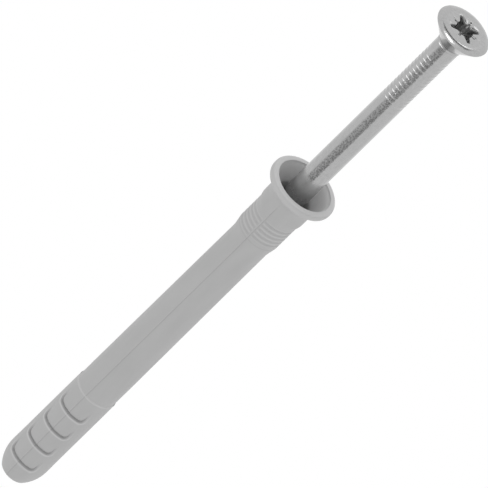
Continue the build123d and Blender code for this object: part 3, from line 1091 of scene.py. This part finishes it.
def even_sky(level):
    """A white backdrop for the camera and in gloss, and an even soft light on everything."""
    world = bpy.data.worlds.new("white_studio")
    tree = blank_tree(world)
    direction = add(tree, "ShaderNodeTexCoord")
    split = add(tree, "ShaderNodeSeparateXYZ", {}, {0: direction.outputs["Generated"]})
    height = add(tree, "ShaderNodeMapRange", {}, {0: split.outputs[2], 1: -1.0, 2: 1.0})
    belt = add(tree, "ShaderNodeValToRGB", {}, {0: height.outputs[0]})
    ramp = belt.color_ramp
    ramp.interpolation = "B_SPLINE"
    for position, _ in SKY_BELT[1:-1]:
        ramp.elements.new(position)
    for element, (position, tone) in zip(ramp.elements, SKY_BELT):
        element.position = position
        element.color = (tone, tone, tone, 1)
    path = add(tree, "ShaderNodeLightPath").outputs
    known = {kind: path[f"Is {kind} Ray"] for kind in ("Camera", "Transmission", "Glossy")}
    known["belt"] = belt.outputs[0]
    found = sums(tree, known, [
        ("seen", "MAXIMUM", "Camera", "Transmission"),
        ("shown", "MAXIMUM", "seen", "Glossy"),
        ("lit", "MULTIPLY", "belt", level),
    ])
    strength = add(tree, "ShaderNodeMapRange", {}, {0: found["shown"], 3: found["lit"], 4: 1.0})
    light = add(tree, "ShaderNodeBackground", {}, {"Color": WHITE, "Strength": strength.outputs[0]})
    add(tree, "ShaderNodeOutputWorld", {}, {0: light.outputs[0]})
    bpy.context.scene.world = world


def photo_camera(studio):
    """The photograph's view: from the front and the head's side, rolled so that the fixing lies across it."""
    back = Vector((0.0, -VIEW_ACROSS, -VIEW_LEAN)).normalized()
    along = Vector((0.0, VIEW_LEAN, -VIEW_ACROSS))
    side = Vector((-1.0, 0.0, 0.0))
    right = (ROLL_ALONG * along + ROLL_SIDE * side).normalized()
    up = back.cross(right).normalized()
    data = bpy.data.cameras.new("photo_camera")
    data.sensor_width = SENSOR_WIDTH
    data.lens = SENSOR_WIDTH * studio.camera_distance / studio.frame_width
    data.clip_start = 0.1
    data.clip_end = 10.0
    camera = bpy.data.objects.new("photo_camera", data)
    camera.rotation_mode = "QUATERNION"
    camera.rotation_quaternion = Matrix((right, up, back)).transposed().to_quaternion()
    aim = Vector((AIM_SIDE, 0.0, MOUTH_Z + AIM_PAST_MOUTH))
    camera.location = aim + back * studio.camera_distance
    bpy.context.scene.collection.objects.link(camera)
    bpy.context.scene.camera = camera


class FIXING_OT_stage(bpy.types.Operator):
    """Sets the plain floor, the soft light, the white backdrop and the photograph's camera"""

    bl_idname = "fixing.stage"
    bl_label = "Set Stage"

    def execute(self, context):
        studio = context.scene.fixing_studio
        key, fill = studio.key_power, studio.fill_power
        pale_floor()
        even_sky(studio.sky_level)
        soft_lamp("head_lamp", (0.1, 0.12, -0.99), (0.09, 0.19), 0.5 * key)
        soft_lamp("head_lamp_right", (-0.06, 0.66, -0.74), (0.04, 0.08), 0.03 * key)
        soft_lamp("thread_lamp", (0.75, -0.66, 0.0), (0.75, 0.14), fill).visible_diffuse = False
        dark_card("front_card", (0.252, -0.775, 0.58), (1.07, 1.4), (0.38, 0.95))
        dark_card("back_card", (0.0, 0.515, -0.857), (0.44, 0.17), (0.1, 0.1))
        context.scene.view_settings.view_transform = "Standard"
        photo_camera(studio)
        return {"FINISHED"}


class FIXING_PT_panel(bpy.types.Panel):
    """Lists the fixing's sizes and the operators that make it"""

    bl_idname = "FIXING_PT_panel"
    bl_label = "Hammer Fixing"
    bl_space_type = "VIEW_3D"
    bl_region_type = "UI"
    bl_category = "Fixing"

    def draw(self, context):
        layout = self.layout
        for title, (name, group) in GROUPS.items():
            box = layout.box()
            box.label(text=title)
            for key in group.__annotations__:
                box.prop(getattr(context.scene, name), key)
        for operator in OPERATORS:
            layout.operator(operator.bl_idname)


GROUPS = {
    "Sleeve": ("fixing_sleeve", FixingSleeveSizes),
    "Screw": ("fixing_screw", FixingScrewSizes),
    "Colours": ("fixing_colours", FixingColours),
    "Studio": ("fixing_studio", FixingStudio),
}
OPERATORS = (FIXING_OT_sleeve, FIXING_OT_screw, FIXING_OT_stage)


def register():
    for name, group in GROUPS.values():
        bpy.utils.register_class(group)
        setattr(bpy.types.Scene, name, PointerProperty(type=group))
    for operator in OPERATORS:
        bpy.utils.register_class(operator)
    bpy.utils.register_class(FIXING_PT_panel)


def unregister():
    bpy.utils.unregister_class(FIXING_PT_panel)
    for operator in reversed(OPERATORS):
        bpy.utils.unregister_class(operator)
    for name, group in reversed(list(GROUPS.values())):
        delattr(bpy.types.Scene, name)
        bpy.utils.unregister_class(group)


def main():
    """Makes the pieces and the stage."""
    register()
    bpy.ops.fixing.sleeve()
    bpy.ops.fixing.screw()
    bpy.ops.fixing.stage()
    bpy.context.view_layer.update()


if __name__ == "__main__":
    main()
